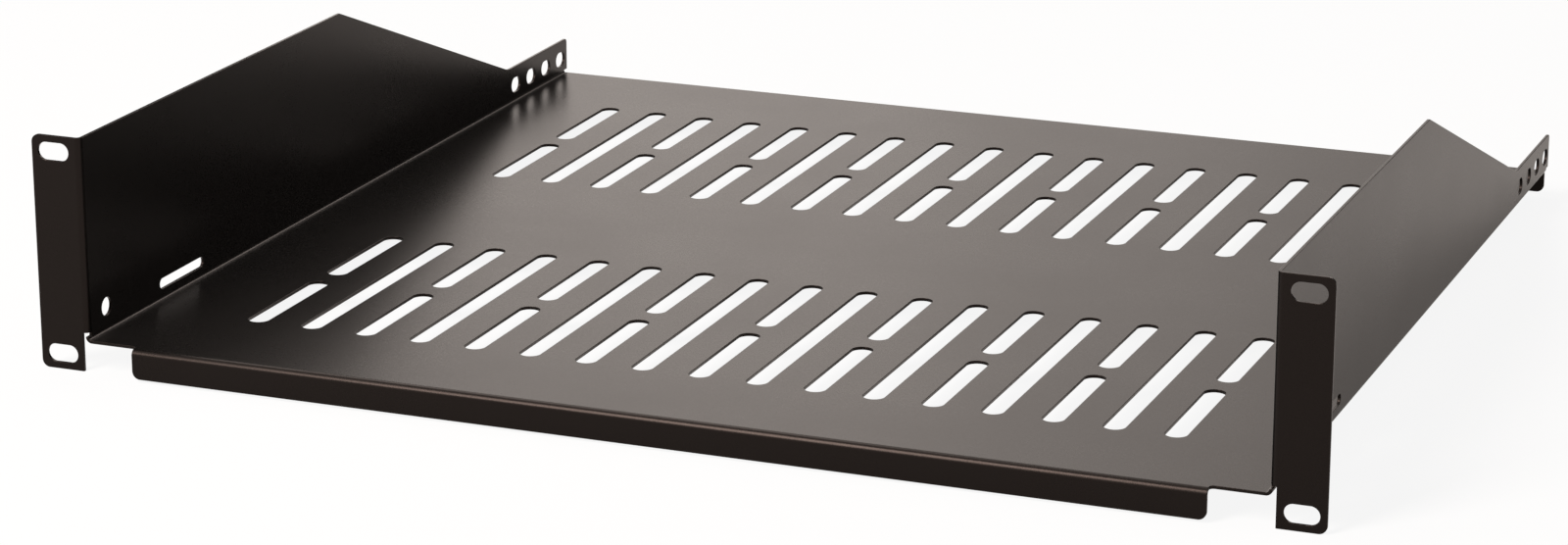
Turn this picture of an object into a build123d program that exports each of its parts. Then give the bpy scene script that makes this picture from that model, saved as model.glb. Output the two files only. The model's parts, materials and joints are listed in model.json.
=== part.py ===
from build123d import *
import os

# A two-unit rack shelf, punched and folded from one steel sheet, in millimetres.
# X runs across the rack, Y back into it and Z up. The origin is the middle of the four
# ear slots, on the rear faces of the ears, where they bear on the rack posts.

# Sheet and its bends
sheet = 1.2
bend_inside = 1.2
bend_outside = bend_inside + sheet

# Ears, to the 19 inch rack standard
panel_width = 482.6
panel_height = 88.1
ear_slot_inset = 8.75      # slot centres from the ears' outer edges, 465.1 apart across the rack
ear_slot_rise = 76.2
ear_slot_length = 12.5
ear_slot_height = 6.8
ear_corner = 3.0

# Tray and walls
body_width = 445.2
tray_rise = 12.3           # tray top above the ears' lower ends
rear_end = 421.0           # back of the shelf, behind the ears' rear faces
wall_peak = 203.0          # where the wall's level top edge starts to slope down
wall_slope_end = 359.5     # where the slope meets the low rear part of the wall
rear_wall_rise = 15.1      # top of that low part above the tray
wall_notch_round = 15.0
wall_corner_round = 1.5

# Front lip, folded down between the ears
lip_width = 403.0
lip_ahead = 4.4            # lip's face ahead of the ears' front faces
lip_drop = 11.1            # lip's lower edge below the tray top
lip_corner = 3.0
notch_depth = 1.8          # how far the notches beside the lip pass the start of its bend
notch_round = 1.5

# Rear flange, folded down across the back
flange_width = 443.0
flange_drop = 9.7
flange_corner = 3.0

# Vent slots in the tray: long slots alternate with pairs of short ones, in two bands
slot_width = 8.0
slot_length = 118.0
slot_land = 9.0            # metal left between the two short slots of a pair
slot_pitch = 22.0
slot_columns = 17
band_centre = 99.5         # middle of the front band behind the ears' rear faces
band_pitch = 211.0

# Holes in each side wall, with their heights above the tray
tie_hole = 7.0
tie_hole_depth = 12.5
tie_hole_rise = 8.9
strap_slot_length = 33.5
strap_slot_height = 4.0
strap_slot_depth = 68.5
strap_slot_rise = 5.8
rear_hole_length = 9.0
rear_hole_height = 6.5
rear_hole_pitch = 15.6
rear_hole_count = 4
rear_hole_inset = 7.0      # centre of the last hole ahead of the back of the shelf
rear_hole_rise = 6.9

# Gap left in the sheet where two bends meet at a corner
relief = 1.2

# Places that follow from the sizes above
ear_top = panel_height / 2
ear_bottom = -panel_height / 2
ear_front = -sheet
tray_top = ear_bottom + tray_rise
wall_outer = body_width / 2
wall_inner = wall_outer - sheet
floor_edge = wall_inner - bend_inside          # the flat tray ends here, at the wall bends
wall_foot = tray_top + bend_inside             # the flat walls start here
ear_bend_end = wall_inner + bend_outside       # the flat ears start here
wall_front = ear_front + bend_outside          # the walls' front edges, at the ear bends
lip_front = ear_front - lip_ahead
lip_bend_start = lip_front + bend_outside
notch_edge = lip_bend_start + notch_depth
flange_bend_start = rear_end - bend_outside
fold_top = tray_top - bend_outside             # the flat lip and flange end here


def bend_section(plane):
    """A quarter ring of sheet round the plane's origin, from its x axis to its y axis."""
    with BuildSketch(plane) as section:
        with BuildLine():
            inside = CenterArc((0, 0), bend_inside, 0, 90)
            outside = CenterArc((0, 0), bend_outside, 0, 90)
            Line(inside @ 0, outside @ 0)
            Line(inside @ 1, outside @ 1)
        make_face()
    return section.sketch


def tray_blank():
    """The flat tray: a wide floor, the narrower root of the lip, and the vent slots."""
    floor_length = flange_bend_start - notch_edge
    root_length = notch_edge - lip_bend_start
    short_slot = (slot_length - slot_land) / 2
    with BuildSketch(Plane.XY.offset(tray_top - sheet)) as blank:
        with Locations((0, notch_edge)):
            Rectangle(2 * floor_edge, floor_length, align=(Align.CENTER, Align.MIN))
        with Locations((0, lip_bend_start)):
            Rectangle(lip_width, root_length, align=(Align.CENTER, Align.MIN))
        notch_corners = blank.vertices().filter_by_position(
            Axis.Y, notch_edge - relief / 2, notch_edge + relief / 2
        ).filter_by_position(Axis.X, -floor_edge + relief, floor_edge - relief)
        fillet(notch_corners, radius=notch_round)
        for band in range(2):
            middle = band_centre + band * band_pitch
            for column in range(slot_columns):
                across = (column - (slot_columns - 1) / 2) * slot_pitch
                if column % 2:
                    with Locations((across, middle)):
                        SlotOverall(slot_length, slot_width, rotation=90, mode=Mode.SUBTRACT)
                else:
                    offset_along = (short_slot + slot_land) / 2
                    with Locations((across, middle - offset_along), (across, middle + offset_along)):
                        SlotOverall(short_slot, slot_width, rotation=90, mode=Mode.SUBTRACT)
    return blank.sketch


def wall_blank():
    """The flat of one wall seen from the side: level top, slope, low rear part and holes."""
    low_top = tray_top + rear_wall_rise
    last_hole = rear_end - rear_hole_inset
    with BuildSketch(Plane.YZ.offset(wall_inner)) as blank:
        with BuildLine():
            Polyline(
                (wall_front, wall_foot),
                (rear_end, wall_foot),
                (rear_end, low_top),
                (wall_slope_end, low_top),
                (wall_peak, ear_top),
                (wall_front, ear_top),
                close=True,
            )
        make_face()
        # On this plane the sketch's x runs back along the wall and its y runs up
        heights = blank.vertices().group_by(Axis.Y)
        notch, rear_corner = heights[1].sort_by(Axis.X)
        peak = heights[-1].sort_by(Axis.X)[-1]
        fillet(notch, radius=wall_notch_round)
        fillet([rear_corner, peak], radius=wall_corner_round)
        with Locations((tie_hole_depth, tray_top + tie_hole_rise)):
            Circle(tie_hole / 2, mode=Mode.SUBTRACT)
        with Locations((strap_slot_depth, tray_top + strap_slot_rise)):
            SlotOverall(strap_slot_length, strap_slot_height, mode=Mode.SUBTRACT)
        for hole in range(rear_hole_count):
            with Locations((last_hole - hole * rear_hole_pitch, tray_top + rear_hole_rise)):
                SlotOverall(rear_hole_length, rear_hole_height, mode=Mode.SUBTRACT)
    return blank.sketch


def ear_blank():
    """The flat of one ear seen from behind, with its two slots and rounded outer corners."""
    ear_edge = panel_width / 2
    with BuildSketch(Plane.XZ) as blank:
        with Locations(((ear_bend_end + ear_edge) / 2, 0)):
            Rectangle(ear_edge - ear_bend_end, panel_height)
        fillet(blank.vertices().group_by(Axis.X)[-1], radius=ear_corner)
        slot_across = ear_edge - ear_slot_inset
        with Locations((slot_across, ear_slot_rise / 2), (slot_across, -ear_slot_rise / 2)):
            SlotOverall(ear_slot_length, ear_slot_height, mode=Mode.SUBTRACT)
    return blank.sketch


def folded_edge_blank(width, drop, corner, face):
    """The flat of an edge folded down, with rounded lower corners, on a plane facing -Y."""
    with BuildSketch(Plane.XZ.offset(-face)) as blank:
        with Locations((0, tray_top - drop)):
            Rectangle(width, fold_top - tray_top + drop, align=(Align.CENTER, Align.MIN))
        fillet(blank.vertices().group_by(Axis.Y)[0], radius=corner)
    return blank.sketch


with BuildPart() as shelf_body:
    extrude(tray_blank(), amount=sheet)

    # Side wall with its bend, and the ear folded out from the wall's front edge
    extrude(wall_blank(), amount=sheet)
    wall_bend = Plane(
        origin=(floor_edge, notch_edge, wall_foot), x_dir=(1, 0, 0), z_dir=(0, 1, 0)
    )
    extrude(bend_section(wall_bend), amount=flange_bend_start - relief / 2 - notch_edge)
    extrude(ear_blank(), amount=sheet)
    ear_bend = Plane(
        origin=(ear_bend_end, wall_front, wall_foot + relief), x_dir=(-1, 0, 0), z_dir=(0, 0, 1)
    )
    extrude(bend_section(ear_bend), amount=ear_top - wall_foot - relief)
    mirror(about=Plane.YZ)

    # Front lip
    lip_bend = Plane(
        origin=(-lip_width / 2, lip_bend_start, fold_top), x_dir=(0, 0, 1), z_dir=(1, 0, 0)
    )
    extrude(bend_section(lip_bend), amount=lip_width)
    lip_flat = folded_edge_blank(lip_width, lip_drop, lip_corner, lip_front + sheet)
    extrude(lip_flat, amount=sheet)

    # Rear flange
    flange_bend = Plane(
        origin=(-flange_width / 2, flange_bend_start, fold_top), x_dir=(0, 1, 0), z_dir=(1, 0, 0)
    )
    extrude(bend_section(flange_bend), amount=flange_width)
    flange_flat = folded_edge_blank(flange_width, flange_drop, flange_corner, rear_end)
    extrude(flange_flat, amount=sheet)

shelf_body.part.label = "shelf_body"

os.makedirs("parts", exist_ok=True)
export_step(shelf_body.part, "parts/shelf_body.step")
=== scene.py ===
# A vented two-unit rack shelf: one steel sheet, punched flat, folded and powder coated.
# All lengths are in metres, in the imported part's frame: X across the rack, Y back into it, Z up.
import json
import math

import bpy
import numpy as np
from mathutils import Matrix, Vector
from mathutils.geometry import delaunay_2d_cdt


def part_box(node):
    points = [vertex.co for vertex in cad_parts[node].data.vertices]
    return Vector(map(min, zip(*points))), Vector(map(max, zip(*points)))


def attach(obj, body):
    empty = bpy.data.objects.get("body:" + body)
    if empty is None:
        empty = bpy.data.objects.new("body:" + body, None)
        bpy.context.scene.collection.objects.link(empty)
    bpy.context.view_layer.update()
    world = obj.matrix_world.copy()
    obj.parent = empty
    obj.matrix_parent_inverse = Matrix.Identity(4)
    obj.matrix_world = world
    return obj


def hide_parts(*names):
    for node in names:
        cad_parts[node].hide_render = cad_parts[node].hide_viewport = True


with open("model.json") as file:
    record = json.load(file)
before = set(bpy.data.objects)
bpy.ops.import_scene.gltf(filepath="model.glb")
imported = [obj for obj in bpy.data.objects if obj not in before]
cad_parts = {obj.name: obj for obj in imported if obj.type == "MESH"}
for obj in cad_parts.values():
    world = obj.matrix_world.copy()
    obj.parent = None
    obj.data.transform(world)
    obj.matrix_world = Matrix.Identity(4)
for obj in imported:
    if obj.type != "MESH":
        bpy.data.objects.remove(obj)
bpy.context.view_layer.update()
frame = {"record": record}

bl_info = {
    "name": "Rack shelf",
    "version": (1, 0, 0),
    "blender": (4, 5, 0),
    "location": "3D View > Sidebar > Rack shelf",
    "description": "Folds and coats a vented rack shelf and sets it on a studio floor",
    "category": "Object",
}

MM = 0.001

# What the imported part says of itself
box_low, box_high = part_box("shelf_body")
mounts = {mount["name"]: mount for mount in frame["record"]["mounts"]}
ear_dims = mounts["rack_ears"]["dims"]
tie_dims = mounts["tie_hole_right"]["dims"]
rear_outer_dims = mounts["rear_holes_right_outer"]["dims"]
rear_inner_dims = mounts["rear_holes_right_inner"]["dims"]
coat_colour = frame["record"]["materials"][0]["base_color"]

# The sheet's bends and curves
NEUTRAL_SHARE = 0.44    # how far through the thickness, from a bend's inside, its length holds
BEND_STEPS = 8
SLOT_ARC_STEPS = 14
EDGE_ARC_STEPS = 3
CORNER_STEP = math.radians(9)
FEWEST_CORNER_STEPS = 3

# Small distances in the flat blank
TINY_STEP = 1e-6        # a folded direction is measured over this
ON_LINE = 1e-7          # a point this near a bend line lies on it
MERGE_WITHIN = 1e-8     # points this near each other are one

# The coat. The record's colour is how it looks from a step away, gloss included, and the
# pigment under the gloss is only this share of it.
PIGMENT_SHARE = 0.05
CLOUD_SIZE = 60 * MM
GRAIN_DETAIL = 3
PEEL_DETAIL = 1
CLOUD_DETAIL = 2
DEEP_PIGMENT = 0.85
PALE_PIGMENT = 1.2
EDGE_PIGMENT = 1.8
GRAIN_IN_PIGMENT = 0.6
EDGE_IN_PIGMENT = 0.5
GRAIN_ROUGHNESS = 0.10
CLOUD_ROUGHNESS = 0.06
EDGE_ROUGHNESS = 0.05

# The floor
FLOOR_RINGS = 8
FLOOR_SPOKES = 64
FLOOR_ROUGHNESS = 0.5

# The lamps and the flags, which the camera doesn't see. With the sky they light a level
# surface to about 0.9 of plain white and the shelf's front faces to about 1.1 of it, so a
# colour renders about as it is written.
LAMP_AIM = (0, 0.2, 0)
WINDOW_PLACE = (-1.55, 2.3, 1.0)
WINDOW_WIDTHS = (1.72, 2.4)
WINDOW_HEIGHT = 1.4
WINDOW_GAP = 0.05
KEY_PLACE = (-0.8, -1.6, 1.6)
KEY_SIZE = (0.8, 1.5)
TOP_PLACE = (-0.5, 0.5, 1.0)
TOP_SIZE = (0.5, 0.6)
BACK_PLACE = (0.35, 1.85, 1.1)
BACK_SIZE = (0.8, 0.5)
RIGHT_FLAG_START = (-0.05, 2.0)
RIGHT_FLAG_END = (1.9, 0.6)
RIGHT_FLAG_TOP = 0.72
LEFT_FLAG_START = (-1.148, 1.85)
LEFT_FLAG_END = (-2.4, 0.4)
LEFT_FLAG_TOP = 1.3
FLAG_LIFT = 0.06
FLAG_COLOUR = (0.02, 0.02, 0.02)

# The camera: its image's width in pixels, and its sensor's in millimetres
IMAGE_WIDTH = 1600
SENSOR_WIDTH = 36
CLIP_START = 0.01
CLIP_END = 100


def length(name, description, default):
    """A length property in metres."""
    return bpy.props.FloatProperty(
        name=name, description=description, default=default, min=0, precision=5, unit="LENGTH"
    )


def share(name, description, default):
    """A property between 0 and 1."""
    return bpy.props.FloatProperty(
        name=name, description=description, default=default, min=0, max=1, subtype="FACTOR"
    )


def tint(name, description, default):
    """A colour property."""
    return bpy.props.FloatVectorProperty(
        name=name, description=description, default=default, size=3, min=0, max=1, subtype="COLOR"
    )


def watts(name, description, default):
    """A property for the power of lamps."""
    return bpy.props.FloatProperty(
        name=name, description=description, default=default, min=0, unit="POWER"
    )


def tilt(name, description, degrees):
    """An angle property whose default is given in degrees."""
    return bpy.props.FloatProperty(
        name=name, description=description, default=math.radians(degrees), subtype="ANGLE"
    )


class SheetSizes(bpy.types.PropertyGroup):
    """The folded sheet without its vent slots."""

    thickness: length("Thickness", "Thickness of the coated sheet", tie_dims["length_mm"] * MM)
    bend_inside: length("Bend radius", "Inside radius of every bend", 1.2 * MM)
    edge_round: length("Edge round", "Radius that the coat gives the cut edges", 0.2 * MM)
    corner_ease: length("Corner ease", "Radius of the corners that are punched sharp", 0.28 * MM)
    relief: length("Relief", "Gap left in the sheet where two bends meet", 1.2 * MM)
    body_width: length("Body width", "Width over the two side walls", 445.2 * MM)
    wall_peak: length("Wall peak", "Where the wall's top edge starts to slope", 203 * MM)
    wall_slope_end: length("Slope end", "Where the slope meets the low rear wall", 359.5 * MM)
    rear_wall_rise: length("Rear wall rise", "Top of the low rear wall above the tray", 15.1 * MM)
    wall_notch_round: length("Notch round", "Radius where the slope meets the rear wall", 15 * MM)
    wall_corner_round: length("Wall corners", "Radius of the wall's peak and rear corner", 1.5 * MM)
    ear_corner: length("Ear corners", "Radius of the ears' outer corners", 3 * MM)
    lip_width: length("Lip width", "Width of the front lip", 403 * MM)
    lip_drop: length("Lip drop", "Lower edge of the lip below the tray", 11.1 * MM)
    lip_corner: length("Lip corners", "Radius of the lip's lower corners", 3 * MM)
    notch_depth: length("Notch depth", "How far the notches pass the lip's bend", 1.8 * MM)
    notch_round: length("Notch corner", "Radius inside the notches beside the lip", 1.5 * MM)
    flange_width: length("Flange width", "Width of the rear flange", 443 * MM)
    flange_drop: length("Flange drop", "Lower edge of the flange below the tray", 9.7 * MM)
    flange_corner: length("Flange corners", "Radius of the flange's lower corners", 3 * MM)
    strap_slot_length: length("Strap slot length", "Length of the slot in each wall", 33.5 * MM)
    strap_slot_height: length("Strap slot height", "Height of the slot in each wall", 4 * MM)


class VentSizes(bpy.types.PropertyGroup):
    """The slots in the tray: long ones alternate with pairs of short ones, in two bands."""

    slot_width: length("Slot width", "Width of every vent slot", 8 * MM)
    slot_length: length("Slot length", "Length of the long slots", 118 * MM)
    slot_land: length("Land", "Metal left between two short slots", 9 * MM)
    slot_pitch: length("Pitch", "Distance between neighbouring columns", 22 * MM)
    band_centre: length("Front band", "Middle of the front band behind the ears", 99.5 * MM)
    band_pitch: length("Band pitch", "Distance from the front band to the rear one", 211 * MM)
    columns: bpy.props.IntProperty(
        name="Columns", description="Slot columns in each band", default=17, min=1
    )


class CoatLook(bpy.types.PropertyGroup):
    """The satin powder coat."""

    pigment: tint(
        "Pigment", "Colour of the coat under its gloss", [PIGMENT_SHARE * c for c in coat_colour]
    )
    roughness: share("Roughness", "Mean roughness of the coat", 0.29)
    gloss_index: bpy.props.FloatProperty(
        name="Gloss index", description="Refractive index of the coat", default=1.3, min=1
    )
    gloss_tint: tint("Gloss tint", "Tint of the gloss where it is seen square on", (1.0, 0.8, 0.73))
    grain: length("Grain", "Size of the powder's fine texture", 0.7 * MM)
    grain_height: length("Grain height", "Height of the powder's fine texture", 0.004 * MM)
    peel: length("Peel", "Size of the coat's slow ripple", 5 * MM)
    peel_height: length("Peel height", "Height of the coat's slow ripple", 0.006 * MM)


class StageLook(bpy.types.PropertyGroup):
    """The floor, the light and the camera."""

    floor_colour: tint("Floor", "Colour of the floor", (0.94, 0.94, 0.94))
    floor_radius: length("Floor radius", "Radius of the round floor", 14)
    studio_colour: tint("Studio", "Colour of the studio's light", (1.0, 0.915, 0.855))
    sky_strength: share("Sky", "Strength of the even light from all round", 0.15)
    glow: share("Floor glow", "Share of the floor's white that its shadows leave alone", 0.9)
    gloss_glow: share("Gloss glow", "The same share where the floor is seen in gloss", 0.39)
    window_power: watts("Window lamps", "Power of the two wide lamps behind, together", 8.0)
    key_power: watts("Key lamp", "Power of the lamp in front", 63)
    top_power: watts("Top lamp", "Power of the small lamp above", 2.6)
    back_power: watts("Back lamp", "Power of the small lamp behind", 4.2)
    lens: bpy.props.FloatProperty(
        name="Lens", description="Focal length of the camera in millimetres", default=101.18, min=1
    )
    camera_place: bpy.props.FloatVectorProperty(
        name="Camera",
        description="Where the camera stands",
        default=(0.5740, -1.3257, 0.4605),
        size=3,
        subtype="XYZ",
        unit="LENGTH",
    )
    azimuth: tilt("Azimuth", "How far the camera looks to the left of +Y", 21.54)
    elevation: tilt("Elevation", "How far the camera looks down", 17.02)
    centre_column: bpy.props.FloatProperty(
        name="Centre column", description="Image column of the camera's axis", default=802.8
    )


class Fold:
    """Where the folded sheet's bends lie, and how a flat point goes round them.

    The flat blank has u across, v back and w down into the sheet. The tray is the part of it
    that stays where it is, so u, v and w there are X, Y and the depth below the tray's top.
    """

    def __init__(self, sizes):
        self.inside = sizes.bend_inside
        self.outside = sizes.bend_inside + sizes.thickness
        # Length of a bend in the flat, along the layer whose length holds
        self.run = math.pi / 2 * (sizes.bend_inside + NEUTRAL_SHARE * sizes.thickness)
        self.tray_top = mounts["tray"]["pos_m"][2]
        self.wall_start = sizes.body_width / 2 - self.outside
        self.wall_flat = self.wall_start + self.run
        self.wall_foot = self.tray_top + self.inside
        self.ear_start = self.outside - sizes.thickness
        self.ear_flat = self.ear_start - self.run
        self.ear_inner_edge = self.wall_start + self.inside + self.outside
        self.lip_start = box_low.y + self.outside
        self.lip_flat = self.lip_start - self.run
        self.flange_start = box_high.y - self.outside
        self.flange_flat = self.flange_start + self.run
        self.notch_edge = self.lip_start + sizes.notch_depth
        self.wall_bend_end = self.flange_start - sizes.relief / 2
        self.relief_top = self.wall_flat + sizes.relief
        self.lip_half = sizes.lip_width / 2
        self.flange_half = sizes.flange_width / 2

    def wall_at(self, height):
        """The flat u of a height Z on a wall."""
        return self.wall_flat + height - self.wall_foot

    def turn(self, past, depth, radius, side, whole=False):
        """A point past a bend's start goes forward and up round the bend.

        The sheet's top face turns at the radius, towards its own side where side is 1 and away
        from it where side is -1. The angle grows evenly to a right angle over the bend's run.
        Forward is the point's radius times the angle's sine, and up is the rest of the turn.
        Where whole is true the point counts as past the bend, wherever it lies.
        """
        angle = np.where(whole, 1, np.clip(past / self.run, 0, 1)) * math.pi / 2
        before = np.where(whole, 0, np.minimum(past, 0))
        beyond = np.where(whole, past - self.run, np.maximum(past - self.run, 0))
        reach = radius + side * depth
        forward = before + reach * np.sin(angle)
        up = side * (radius - reach * np.cos(angle) + beyond)
        return forward, up

    def panels(self, u, v):
        """Masks of the flat points that belong to the ears' side, the lip and the flange."""
        across = np.abs(u)
        beside_lip = (self.lip_half + self.wall_at(box_low.z)) / 2
        ahead = v < (self.notch_edge + self.ear_flat) / 2
        on_side = across > (self.wall_flat + self.relief_top) / 2
        ear = on_side | (ahead & (across > beside_lip))
        lip = ~ear & (v < self.lip_start)
        behind = v > (self.wall_bend_end + self.flange_start) / 2
        flange = behind & (across < (self.flange_half + self.wall_flat) / 2)
        return ear, lip, flange

    def place(self, u, v, w, panels):
        """The folded place of flat points: the ears turn first, in the wall's plane, then the
        walls with them, and the lip and the flange turn from the tray."""
        ear, lip, flange = panels
        across = np.abs(u)
        forward, up = self.turn(self.ear_start - v, w, self.outside, -1)
        v = np.where(ear, self.ear_start - forward, v)
        w = np.where(ear, -up, w)
        forward, up = self.turn(across - self.wall_start, w, self.inside, 1, ear)
        x = np.where(flange, across, self.wall_start + forward)
        rise = np.where(flange, -w, up)
        forward, up = self.turn(self.lip_start - v, w, self.outside, -1)
        y = np.where(lip, self.lip_start - forward, v)
        rise = np.where(lip, up, rise)
        forward, up = self.turn(v - self.flange_start, w, self.outside, -1)
        y = np.where(flange, self.flange_start + forward, y)
        rise = np.where(flange, up, rise)
        return np.stack([np.sign(u) * x, y, self.tray_top + rise], axis=-1)

    def face(self, u, v, w, panels, normal):
        """The folded direction of a flat normal: each of its parts goes along the folded
        direction of its own axis, which is the place's change over a tiny step."""
        folded = 0
        for axis, (du, dv, dw) in enumerate(np.eye(3) * TINY_STEP):
            ahead = self.place(u + du, v + dv, w + dw, panels)
            behind = self.place(u - du, v - dv, w - dw, panels)
            direction = ahead - behind
            direction /= np.linalg.norm(direction, axis=-1, keepdims=True)
            folded = folded + normal[..., axis, None] * direction
        return folded / np.linalg.norm(folded, axis=-1, keepdims=True)

    def lines(self):
        """The blank's bend lines, as (axis, value, low, high): the line where u (axis 0) or v
        (axis 1) has the value, between low and high on the other axis."""
        steps = np.linspace(0, self.run, BEND_STEPS + 1)
        ear_top = self.wall_at(box_high.z)
        lines = []
        for step in steps:
            for side in (-1, 1):
                wall = side * (self.wall_start + step)
                lines.append((0, wall, self.notch_edge, self.wall_bend_end))
                low, high = sorted((side * self.relief_top, side * ear_top))
                lines.append((1, self.ear_start - step, low, high))
            lines.append((1, self.lip_start - step, -self.lip_half, self.lip_half))
            lines.append((1, self.flange_start + step, -self.flange_half, self.flange_half))
        return lines


def rounded_path(corners, radii):
    """The closed path round the corners, each replaced by an arc of its radius.

    An arc starts r tan(a/2) before its corner, where a is the turn there. Its point at the
    angle t is r sin(t) on along the first side and r (1 - cos(t)) towards the inside.
    """
    corners = np.array(corners)
    arrive = corners - np.roll(corners, 1, axis=0)
    arrive /= np.linalg.norm(arrive, axis=1, keepdims=True)
    leave = np.roll(arrive, -1, axis=0)
    sine = arrive[:, 0] * leave[:, 1] - arrive[:, 1] * leave[:, 0]
    cosine = (arrive * leave).sum(axis=1)
    turns = np.arctan2(sine, cosine)
    pieces = []
    for corner, along, turn, radius in zip(corners, arrive, turns, radii):
        inward = np.sign(turn) * np.array([-along[1], along[0]])
        start = corner - along * radius * math.tan(abs(turn) / 2)
        steps = max(FEWEST_CORNER_STEPS, math.ceil(abs(turn) / CORNER_STEP))
        angle = np.linspace(0, abs(turn), steps + 1)[:, None]
        pieces.append(start + radius * (along * np.sin(angle) + inward * (1 - np.cos(angle))))
    return np.concatenate(pieces)


def slot_path(centre, slot_length, width):
    """The closed path of a slot that runs along v, clockwise: a circle whose two halves stand
    apart by the slot's length less its width. No point lies where the halves part."""
    steps = 2 * SLOT_ARC_STEPS
    angle = -(np.arange(steps) + 0.5) * 2 * math.pi / steps
    along = width / 2 * np.sin(angle)
    along += np.sign(along) * (slot_length - width) / 2
    beside = width / 2 * np.cos(angle)
    return np.array(centre) + np.stack([beside, along], axis=1)


def blank_outline(fold, sizes):
    """The flat blank's outline: its right half's corners, from the lip back to the flange, and
    the same mirrored. It runs with the sheet on its left."""
    ease = sizes.corner_ease
    ear_low = fold.wall_at(box_low.z)
    ear_high = fold.wall_at(box_high.z)
    ear_edge = fold.ear_flat - (box_high.x - fold.ear_inner_edge)
    low_wall = fold.wall_at(fold.tray_top + sizes.rear_wall_rise)
    lip_edge = fold.lip_flat - (sizes.lip_drop - fold.outside)
    flange_edge = fold.flange_flat + sizes.flange_drop - fold.outside
    right = [
        (fold.lip_half, lip_edge, sizes.lip_corner),
        (fold.lip_half, fold.notch_edge, sizes.notch_round),
        (fold.wall_flat, fold.notch_edge, ease),
        (fold.wall_flat, fold.ear_start, ease),
        (fold.relief_top, fold.ear_start, ease),
        (fold.relief_top, fold.ear_flat, ease),
        (ear_low, fold.ear_flat, ease),
        (ear_low, ear_edge, sizes.ear_corner),
        (ear_high, ear_edge, sizes.ear_corner),
        (ear_high, sizes.wall_peak, sizes.wall_corner_round),
        (low_wall, sizes.wall_slope_end, sizes.wall_notch_round),
        (low_wall, box_high.y, sizes.wall_corner_round),
        (fold.wall_flat, box_high.y, ease),
        (fold.wall_flat, fold.wall_bend_end, ease),
        (fold.wall_start, fold.wall_bend_end, ease),
        (fold.wall_start, fold.flange_start, ease),
        (fold.flange_half, fold.flange_start, ease),
        (fold.flange_half, flange_edge, sizes.flange_corner),
    ]
    left = [(-u, v, radius) for u, v, radius in reversed(right)]
    corners = [(u, v) for u, v, radius in right + left]
    radii = [radius for u, v, radius in right + left]
    return rounded_path(corners, radii)


def vent_slots(vents):
    """The tray's slots: in each band a column has one long slot, or two short ones with a
    land between them."""
    short = (vents.slot_length - vents.slot_land) / 2
    apart = (short + vents.slot_land) / 2
    slots = []
    for middle in (vents.band_centre, vents.band_centre + vents.band_pitch):
        for column in range(vents.columns):
            across = (column - (vents.columns - 1) / 2) * vents.slot_pitch
            if column % 2:
                slots.append(slot_path((across, middle), vents.slot_length, vents.slot_width))
            else:
                for centre in (middle - apart, middle + apart):
                    slots.append(slot_path((across, centre), short, vents.slot_width))
    return slots


def side_holes(fold, sizes):
    """The holes in the walls and the ears, in the flat blank, on both sides."""
    tie = mounts["tie_hole_right"]["pos_m"]
    strap = mounts["strap_slot_right"]["pos_m"]
    rear = mounts["rear_holes_right_outer"]["pos_m"]
    tie_size = 2 * tie_dims["r_mm"] * MM
    rear_height = 2 * rear_outer_dims["hole_r_mm"] * MM
    rear_length = rear_outer_dims["slot_length_mm"] * MM
    ear_height = 2 * ear_dims["hole_r_mm"] * MM
    ear_length = ear_dims["slot_length_mm"] * MM
    ear_across = ear_dims["spacing_x_mm"] / 2 * MM
    ear_depth = fold.ear_flat - (ear_across - fold.ear_inner_edge)
    holes = []
    for side in (-1, 1):
        holes.append(slot_path((side * fold.wall_at(tie[2]), tie[1]), tie_size, tie_size))
        place = (side * fold.wall_at(strap[2]), strap[1])
        holes.append(slot_path(place, sizes.strap_slot_length, sizes.strap_slot_height))
        for spacing in (rear_outer_dims["spacing_x_mm"], rear_inner_dims["spacing_x_mm"]):
            for end in (-1, 1):
                place = (side * fold.wall_at(rear[2]), rear[1] + end * spacing / 2 * MM)
                holes.append(slot_path(place, rear_length, rear_height))
        for end in (-1, 1):
            height = end * ear_dims["spacing_y_mm"] / 2 * MM
            place = (side * fold.wall_at(height), ear_depth)
            holes.append(slot_path(place, ear_length, ear_height))
    return holes


def mitres(path):
    """For each point of a closed path, the way out of the sheet: the mean of the two sides'
    normals, as long as a unit offset of both sides makes it."""
    side = np.roll(path, -1, axis=0) - path
    side /= np.linalg.norm(side, axis=1, keepdims=True)
    after = np.stack([side[:, 1], -side[:, 0]], axis=1)
    before = np.roll(after, 1, axis=0)
    return (before + after) / (1 + (before * after).sum(axis=1, keepdims=True))


def near_span(value, low, high, inset):
    """True where a value lies between a bend line's ends, or past them by less than twice the
    inset, as the points that are moved in may."""
    return (value > low - 2 * inset) & (value < high + 2 * inset)


def split_at_lines(path, out, inset, lines):
    """The path and its outward vectors with points added where the path, moved in by the
    inset, crosses a bend line. A crossing's place between two points is where the line
    divides their distance."""
    inner = path - inset * out
    following = np.roll(inner, -1, axis=0)
    places = [np.arange(len(path), dtype=float)]
    for axis, value, low, high in lines:
        start = inner[:, axis] - value
        end = following[:, axis] - value
        edges = np.nonzero(start * end < 0)[0]
        part = start[edges] / (start[edges] - end[edges])
        other = inner[edges, 1 - axis]
        other = other + part * (following[edges, 1 - axis] - other)
        near = near_span(other, low, high, inset)
        places.append(edges[near] + part[near])
    places = np.unique(np.concatenate(places))
    closed = np.concatenate([path, out], axis=1)
    closed = np.concatenate([closed, closed[:1]])
    index = np.arange(len(closed))
    made = np.stack([np.interp(places, index, column) for column in closed.T], axis=1)
    return made[:, :2], made[:, 2:]


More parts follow.
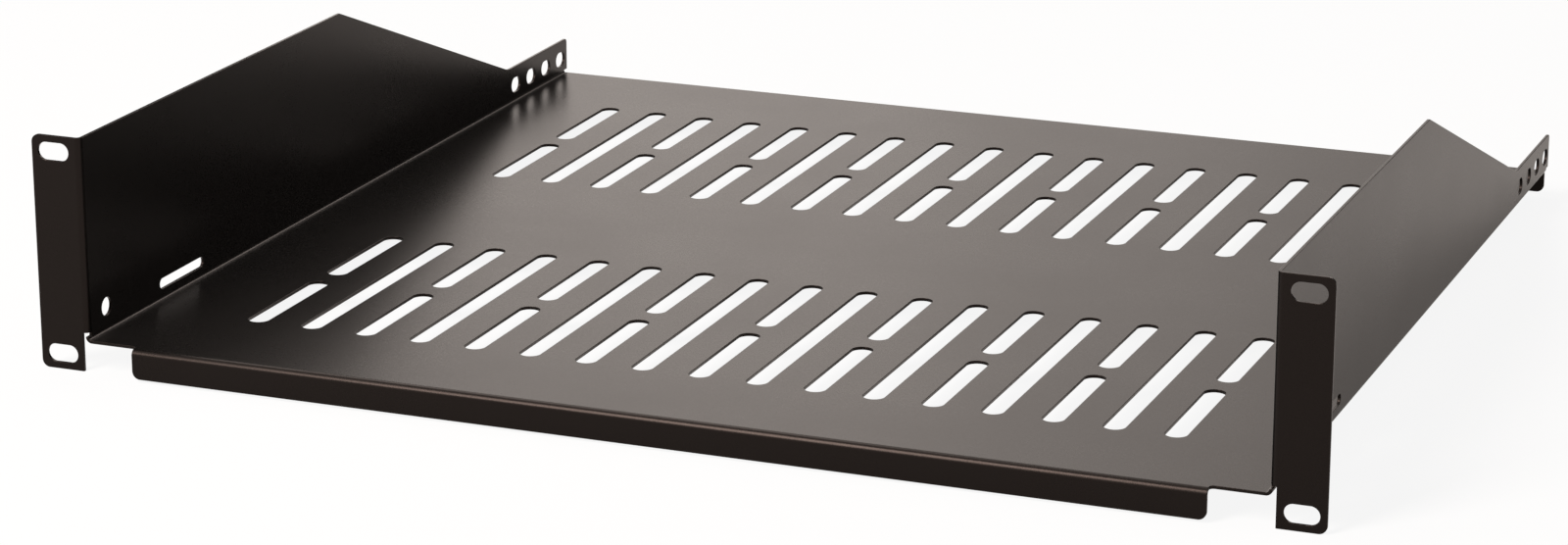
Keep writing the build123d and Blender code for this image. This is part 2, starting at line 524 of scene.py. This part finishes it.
def bend_edges(inner, lines, inset):
    """For each bend line, the pair of inset points where it starts and ends."""
    edges = []
    for axis, value, low, high in lines:
        other = inner[:, 1 - axis]
        on_line = np.abs(inner[:, axis] - value) < ON_LINE
        near = np.nonzero(on_line & near_span(other, low, high, inset))[0]
        order = near[np.argsort(other[near])]
        edges.append((int(order[0]), int(order[-1])))
    return edges


def inside_paths(points, starts, ends):
    """True for the points from which a ray along u crosses the paths' sides an odd number of
    times."""
    u, v = points[:, 0, None], points[:, 1, None]
    spans = (starts[:, 1] > v) != (ends[:, 1] > v)
    rise = np.where(starts[:, 1] == ends[:, 1], 1, ends[:, 1] - starts[:, 1])
    crossing = starts[:, 0] + (v - starts[:, 1]) / rise * (ends[:, 0] - starts[:, 0])
    return (spans & (u < crossing)).sum(axis=1) % 2 == 1


def blank_face(inner, following, outline_count, lines, inset):
    """The triangles that fill the flat blank between its inset paths, cut along the bend lines.

    Every side of a path and every bend line is an edge of the triangulation, and a triangle
    stays where its middle is inside the sheet."""
    cuts = bend_edges(inner[:outline_count], lines, inset)
    sides = list(zip(range(len(inner)), following.tolist())) + cuts
    _, _, triangles, origin, _, _ = delaunay_2d_cdt(
        [Vector(point) for point in inner.tolist()], sides, [], 0, MERGE_WITHIN
    )
    # Back from the triangulation's own points to the inset ones
    source = np.array([indices[0] for indices in origin])
    triangles = source[np.array(triangles)]
    middles = inner[triangles].mean(axis=1)
    return triangles[inside_paths(middles, inner, inner[following])]


def folded_sheet(fold, sizes, vents):
    """The points, faces, normals and edge shares of the whole folded sheet.

    Its cut edges are one profile carried along every path: at the angle t from 0 to 180
    degrees the profile stands r (1 - sin(t)) inside the path, and its depth is r (1 - cos(t))
    from the top face and then r (1 + cos(t)) from the bottom face. The two faces of the blank
    fill the space between the profile's ends, cut along the bend lines. The edge share is
    sin(t), which is 0 on the two faces and 1 in the middle of a cut edge.
    """
    inset = sizes.edge_round
    lines = fold.lines()
    outline = blank_outline(fold, sizes)
    outline, outline_out = split_at_lines(outline, mitres(outline), inset, lines)
    holes = vent_slots(vents) + side_holes(fold, sizes)
    paths = [outline] + holes
    path = np.concatenate(paths)
    out = np.concatenate([outline_out] + [mitres(hole) for hole in holes])
    count = len(path)

    # Each point's follower on its own path
    counts = np.array([len(closed) for closed in paths])
    first = np.cumsum(counts) - counts
    following = np.arange(count) + 1
    following[first + counts - 1] = first

    # The edge profile
    quarter = np.linspace(0, math.pi / 2, EDGE_ARC_STEPS + 1)
    angle = np.concatenate([quarter, quarter + math.pi / 2])
    in_by = inset * (1 - np.sin(angle))
    upper = inset * (1 - np.cos(quarter))
    lower = sizes.thickness - inset * (1 + np.cos(quarter + math.pi / 2))
    depth = np.concatenate([upper, lower])
    rings = len(angle)
    flat = path - in_by[:, None, None] * out
    u, v = flat[..., 0].ravel(), flat[..., 1].ravel()
    w = np.repeat(depth, count)
    outward = out / np.linalg.norm(out, axis=1, keepdims=True)
    across_edge = np.sin(angle)[:, None, None] * outward
    into_sheet = np.broadcast_to(-np.cos(angle)[:, None, None], (rings, count, 1))
    normal = np.concatenate([across_edge, into_sheet], axis=2).reshape(-1, 3)

    # Faces: the strips between rings, then the top and the bottom
    here = np.arange(count)
    ring = np.arange(rings - 1)[:, None] * count
    strips = np.stack(
        [ring + here, ring + count + here, ring + count + following, ring + following], axis=-1
    ).reshape(-1, 4)
    top = blank_face(path - inset * out, following, counts[0], lines, inset)
    bottom = top[:, ::-1] + (rings - 1) * count
    faces = strips.tolist() + top.tolist() + bottom.tolist()

    flat_path = np.tile(path, (rings, 1))
    panels = fold.panels(flat_path[:, 0], flat_path[:, 1])
    points = fold.place(u, v, w, panels)
    normals = fold.face(u, v, w, panels, normal)
    edge_share = np.repeat(np.sin(angle), count)
    return points, faces, normals, edge_share


def mesh_object(name, points, faces, normals=None):
    """An object at the origin with these points and faces, shaded smooth."""
    mesh = bpy.data.meshes.new(name)
    mesh.from_pydata(points.tolist(), [], faces)
    mesh.validate()
    mesh.polygons.foreach_set("use_smooth", np.ones(len(mesh.polygons), bool))
    if normals is not None:
        mesh.normals_split_custom_set_from_vertices(normals.tolist())
    mesh.update()
    piece = bpy.data.objects.new(name, mesh)
    bpy.context.scene.collection.objects.link(piece)
    return piece


class Socket:
    """An output socket. Its sums, differences and products with others or with numbers add
    Math nodes."""

    def __init__(self, graph, socket):
        self.graph = graph
        self.socket = socket

    def maths(self, operation, first, second):
        """The result of a Math node on two values."""
        return self.graph.node("ShaderNodeMath", {"operation": operation}, {0: first, 1: second})

    def __add__(self, other):
        return self.maths("ADD", self, other)

    __radd__ = __add__

    def __sub__(self, other):
        return self.maths("SUBTRACT", self, other)

    def __rsub__(self, other):
        return self.maths("SUBTRACT", other, self)

    def __mul__(self, other):
        return self.maths("MULTIPLY", self, other)

    __rmul__ = __mul__

    def above(self, other):
        """The larger of the two values."""
        return self.maths("MAXIMUM", self, other)


class Graph:
    """A node tree that is filled one node at a time."""

    def __init__(self, owner):
        owner.use_nodes = True
        self.tree = owner.node_tree
        self.tree.nodes.clear()

    @staticmethod
    def pick(sockets, key):
        """The socket with this name or number among those that the node's settings use."""
        used = [socket for socket in sockets if socket.enabled]
        if isinstance(key, int):
            return used[key]
        return next(socket for socket in used if socket.name == key)

    def node(self, kind, settings, inputs, output=0):
        """Adds a node, makes its settings, then fills its inputs with values or links."""
        node = self.tree.nodes.new(kind)
        for name, value in settings.items():
            setattr(node, name, value)
        for key, value in inputs.items():
            socket = self.pick(node.inputs, key)
            if isinstance(value, Socket):
                self.tree.links.new(value.socket, socket)
            else:
                socket.default_value = value
        return Socket(self, self.pick(node.outputs, output)) if node.outputs else None

    def noise(self, coordinates, size, detail):
        """Noise between 0 and 1 whose spots are about as large as the size."""
        inputs = {"Vector": coordinates, "Scale": 1 / size, "Detail": detail}
        return self.node("ShaderNodeTexNoise", {}, inputs)

    def mix(self, factor, first, second):
        """A colour between two others."""
        inputs = {"Factor": factor, "A": first, "B": second}
        return self.node("ShaderNodeMix", {"data_type": "RGBA"}, inputs)


def powder_coat(look):
    """Satin powder coat: fine grain and a slow ripple in its height, a roughness that wanders
    with the grain and with broad clouds, and a slightly thinner, glossier and paler coat over the
    cut edges."""
    material = bpy.data.materials.new("powder_coat")
    graph = Graph(material)
    place = graph.node("ShaderNodeTexCoord", {}, {}, "Object")
    grain = graph.noise(place, look.grain, GRAIN_DETAIL)
    peel = graph.noise(place, look.peel, PEEL_DETAIL)
    cloud = graph.noise(place, CLOUD_SIZE, CLOUD_DETAIL)
    edge = graph.node("ShaderNodeAttribute", {"attribute_name": "edge"}, {}, "Fac")
    levels = (DEEP_PIGMENT, PALE_PIGMENT, EDGE_PIGMENT)
    deep, pale, worn = [(*(level * np.array(look.pigment)), 1) for level in levels]
    mottle = grain * GRAIN_IN_PIGMENT + cloud * (1 - GRAIN_IN_PIGMENT)
    colour = graph.mix(mottle, deep, pale)
    colour = graph.mix(edge * EDGE_IN_PIGMENT, colour, worn)
    # The noises are centred on zero, so that the mean roughness stays as it is set
    roughness = look.roughness + (grain - 0.5) * GRAIN_ROUGHNESS
    roughness = roughness + (cloud - 0.5) * CLOUD_ROUGHNESS - edge * EDGE_ROUGHNESS
    height = grain * look.grain_height + peel * look.peel_height
    bump = graph.node("ShaderNodeBump", {}, {"Height": height, "Distance": 1.0, "Strength": 1.0})
    coat = graph.node(
        "ShaderNodeBsdfPrincipled",
        {},
        {
            "Base Color": colour,
            "Roughness": roughness,
            "IOR": look.gloss_index,
            "Specular Tint": (*look.gloss_tint, 1),
            "Normal": bump,
        },
    )
    graph.node("ShaderNodeOutputMaterial", {}, {"Surface": coat})
    return material


class RACKSHELF_OT_sheet(bpy.types.Operator):
    """Punch the flat blank, fold it into the shelf and coat it"""

    bl_idname = "rackshelf.sheet"
    bl_label = "Fold the sheet"
    bl_options = {"REGISTER", "UNDO"}

    def execute(self, context):
        shelf = context.scene.rack_shelf
        fold = Fold(shelf.sheet)
        points, faces, normals, edge_share = folded_sheet(fold, shelf.sheet, shelf.vents)
        piece = mesh_object("folded_sheet", points, faces, normals)
        edge = piece.data.attributes.new("edge", "FLOAT", "POINT")
        edge.data.foreach_set("value", edge_share.astype(np.float32))
        piece.data.materials.append(powder_coat(shelf.coat))
        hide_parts("shelf_body")
        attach(piece, "root")
        return {"FINISHED"}


def seen_white(graph, look, in_camera, in_gloss):
    """How much of the studio's plain white a ray sees: one share in the camera, one in gloss
    and through glass, and none elsewhere. Its colour is pure white in the camera, and the
    studio's own elsewhere."""
    camera, glossy, transmission = [
        graph.node("ShaderNodeLightPath", {}, {}, ray)
        for ray in ("Is Camera Ray", "Is Glossy Ray", "Is Transmission Ray")
    ]
    colour = graph.mix(camera, (*look.studio_colour, 1), (1, 1, 1, 1))
    return (camera * in_camera).above(glossy.above(transmission) * in_gloss), colour


def floor_material(look):
    """A pale floor that keeps its shadows, mixed with plain white in the camera and in gloss."""
    material = bpy.data.materials.new("pale_floor")
    graph = Graph(material)
    pale = graph.node(
        "ShaderNodeBsdfDiffuse",
        {},
        {"Color": (*look.floor_colour, 1), "Roughness": FLOOR_ROUGHNESS},
    )
    seen, colour = seen_white(graph, look, look.glow, look.gloss_glow)
    white = graph.node("ShaderNodeEmission", {}, {"Color": colour, "Strength": 1.0})
    mixed = graph.node("ShaderNodeMixShader", {}, {0: seen, 1: pale, 2: white})
    graph.node("ShaderNodeOutputMaterial", {}, {"Surface": mixed})
    return material


def round_floor(look):
    """A flat disc under the shelf: the point at the radius r and the angle t is r cos(t),
    r sin(t), with r growing as a square towards the rim."""
    radius = look.floor_radius * np.linspace(0, 1, FLOOR_RINGS + 1)[1:, None] ** 2
    angle = np.linspace(0, 2 * math.pi, FLOOR_SPOKES, endpoint=False)
    x = radius * np.cos(angle)
    y = radius * np.sin(angle)
    z = np.full_like(x, box_low.z)
    points = np.concatenate([[(0, 0, box_low.z)], np.stack([x, y, z], axis=-1).reshape(-1, 3)])
    spoke = np.arange(FLOOR_SPOKES)
    turn = (spoke + 1) % FLOOR_SPOKES
    ring = 1 + np.arange(FLOOR_RINGS - 1)[:, None] * FLOOR_SPOKES
    beyond = ring + FLOOR_SPOKES
    quads = np.stack([ring + spoke, beyond + spoke, beyond + turn, ring + turn], axis=-1)
    quads = quads.reshape(-1, 4)
    hub = np.stack([np.zeros_like(spoke), 1 + spoke, 1 + turn], axis=-1)
    floor = mesh_object("floor", points, quads.tolist() + hub.tolist())
    floor.data.materials.append(floor_material(look))


def soft_lamp(name, place, size, power, colour):
    """A rectangular area lamp, unseen by the camera, that stands at a place and faces the
    shelf. Its size is its width and its height."""
    lamp = bpy.data.lights.new(name, "AREA")
    lamp.shape = "RECTANGLE"
    lamp.size, lamp.size_y = size
    lamp.energy = power
    lamp.color = colour
    stand = bpy.data.objects.new(name, lamp)
    stand.location = place
    stand.rotation_mode = "QUATERNION"
    stand.rotation_quaternion = (Vector(LAMP_AIM) - Vector(place)).to_track_quat("-Z", "Y")
    stand.visible_camera = False
    bpy.context.scene.collection.objects.link(stand)


def black_flag(name, start, end, top):
    """An upright flat black board that keeps light off, unseen by the camera. Its foot goes
    straight from its start to its end, and its height from just above the floor to its top."""
    foot = np.array([start, end])
    heights = (box_low.z + FLAG_LIFT, top)
    points = np.concatenate([np.column_stack([foot, np.full(2, z)]) for z in heights])
    board = mesh_object(name, points, [(0, 1, 3, 2)])
    material = bpy.data.materials.new(name)
    graph = Graph(material)
    cloth = graph.node("ShaderNodeBsdfDiffuse", {}, {"Color": (*FLAG_COLOUR, 1)})
    graph.node("ShaderNodeOutputMaterial", {}, {"Surface": cloth})
    board.data.materials.append(material)
    board.visible_camera = False


def even_sky(look):
    """An even sky: plain white in the camera, as strong in gloss but in the studio's colour,
    and softer where it lights."""
    world = bpy.data.worlds.new("studio")
    bpy.context.scene.world = world
    graph = Graph(world)
    seen, colour = seen_white(graph, look, 1, 1)
    strength = look.sky_strength + seen * (1 - look.sky_strength)
    sky = graph.node("ShaderNodeBackground", {}, {"Color": colour, "Strength": strength})
    graph.node("ShaderNodeOutputWorld", {}, {"Surface": sky})


def place_camera(look):
    """The camera that the photograph was taken with, as fitted to the shelf's own sizes."""
    camera = bpy.data.cameras.new("camera")
    camera.lens = look.lens
    camera.sensor_width = SENSOR_WIDTH
    camera.clip_start = CLIP_START
    camera.clip_end = CLIP_END
    camera.shift_x = (IMAGE_WIDTH / 2 - look.centre_column) / IMAGE_WIDTH
    stand = bpy.data.objects.new("camera", camera)
    stand.location = look.camera_place
    level = math.cos(look.elevation)
    towards = Vector(
        (-math.sin(look.azimuth) * level, math.cos(look.azimuth) * level, -math.sin(look.elevation))
    )
    stand.rotation_mode = "QUATERNION"
    stand.rotation_quaternion = towards.to_track_quat("-Z", "Y")
    bpy.context.scene.collection.objects.link(stand)
    bpy.context.scene.camera = stand


class RACKSHELF_OT_stage(bpy.types.Operator):
    """Lay the floor, light the studio and set up the camera"""

    bl_idname = "rackshelf.stage"
    bl_label = "Set the stage"
    bl_options = {"REGISTER", "UNDO"}

    def execute(self, context):
        look = context.scene.rack_shelf.stage
        round_floor(look)
        even_sky(look)
        warm = look.studio_colour
        # Two lamps of one brightness and two widths, so that their light fades at the sides.
        # They stand a little apart, because lamps in one plane hide each other.
        for number, width in enumerate(WINDOW_WIDTHS):
            place = Vector(WINDOW_PLACE) + number * Vector((0, WINDOW_GAP, 0))
            power = look.window_power * width / sum(WINDOW_WIDTHS)
            soft_lamp(f"window_lamp_{number + 1}", place, (width, WINDOW_HEIGHT), power, warm)
        soft_lamp("key_lamp", KEY_PLACE, KEY_SIZE, look.key_power, warm)
        soft_lamp("top_lamp", TOP_PLACE, TOP_SIZE, look.top_power, warm)
        soft_lamp("back_lamp", BACK_PLACE, BACK_SIZE, look.back_power, warm)
        black_flag("right_flag", RIGHT_FLAG_START, RIGHT_FLAG_END, RIGHT_FLAG_TOP)
        black_flag("left_flag", LEFT_FLAG_START, LEFT_FLAG_END, LEFT_FLAG_TOP)
        place_camera(look)
        context.scene.view_settings.view_transform = "Standard"
        return {"FINISHED"}


class RackShelf(bpy.types.PropertyGroup):
    """All the values of the shelf and its stage."""

    sheet: bpy.props.PointerProperty(type=SheetSizes)
    vents: bpy.props.PointerProperty(type=VentSizes)
    coat: bpy.props.PointerProperty(type=CoatLook)
    stage: bpy.props.PointerProperty(type=StageLook)


class RACKSHELF_PT_panel(bpy.types.Panel):
    """Lists the shelf's steps and values in the sidebar"""

    bl_label = "Rack shelf"
    bl_idname = "RACKSHELF_PT_panel"
    bl_space_type = "VIEW_3D"
    bl_region_type = "UI"
    bl_category = "Rack shelf"

    def draw(self, context):
        shelf = context.scene.rack_shelf
        for title, operator, groups in (
            ("Shelf", RACKSHELF_OT_sheet, (shelf.sheet, shelf.vents, shelf.coat)),
            ("Stage", RACKSHELF_OT_stage, (shelf.stage,)),
        ):
            box = self.layout.box()
            box.label(text=title)
            for group in groups:
                for name in group.__annotations__:
                    box.prop(group, name)
            box.operator(operator.bl_idname)


CLASSES = (
    SheetSizes,
    VentSizes,
    CoatLook,
    StageLook,
    RackShelf,
    RACKSHELF_OT_sheet,
    RACKSHELF_OT_stage,
    RACKSHELF_PT_panel,
)


def register():
    for cls in CLASSES:
        bpy.utils.register_class(cls)
    bpy.types.Scene.rack_shelf = bpy.props.PointerProperty(type=RackShelf)


def unregister():
    del bpy.types.Scene.rack_shelf
    for cls in reversed(CLASSES):
        bpy.utils.unregister_class(cls)


def main():
    """Builds the shelf and its stage."""
    register()
    bpy.ops.rackshelf.sheet()
    bpy.ops.rackshelf.stage()


if __name__ == "__main__":
    main()
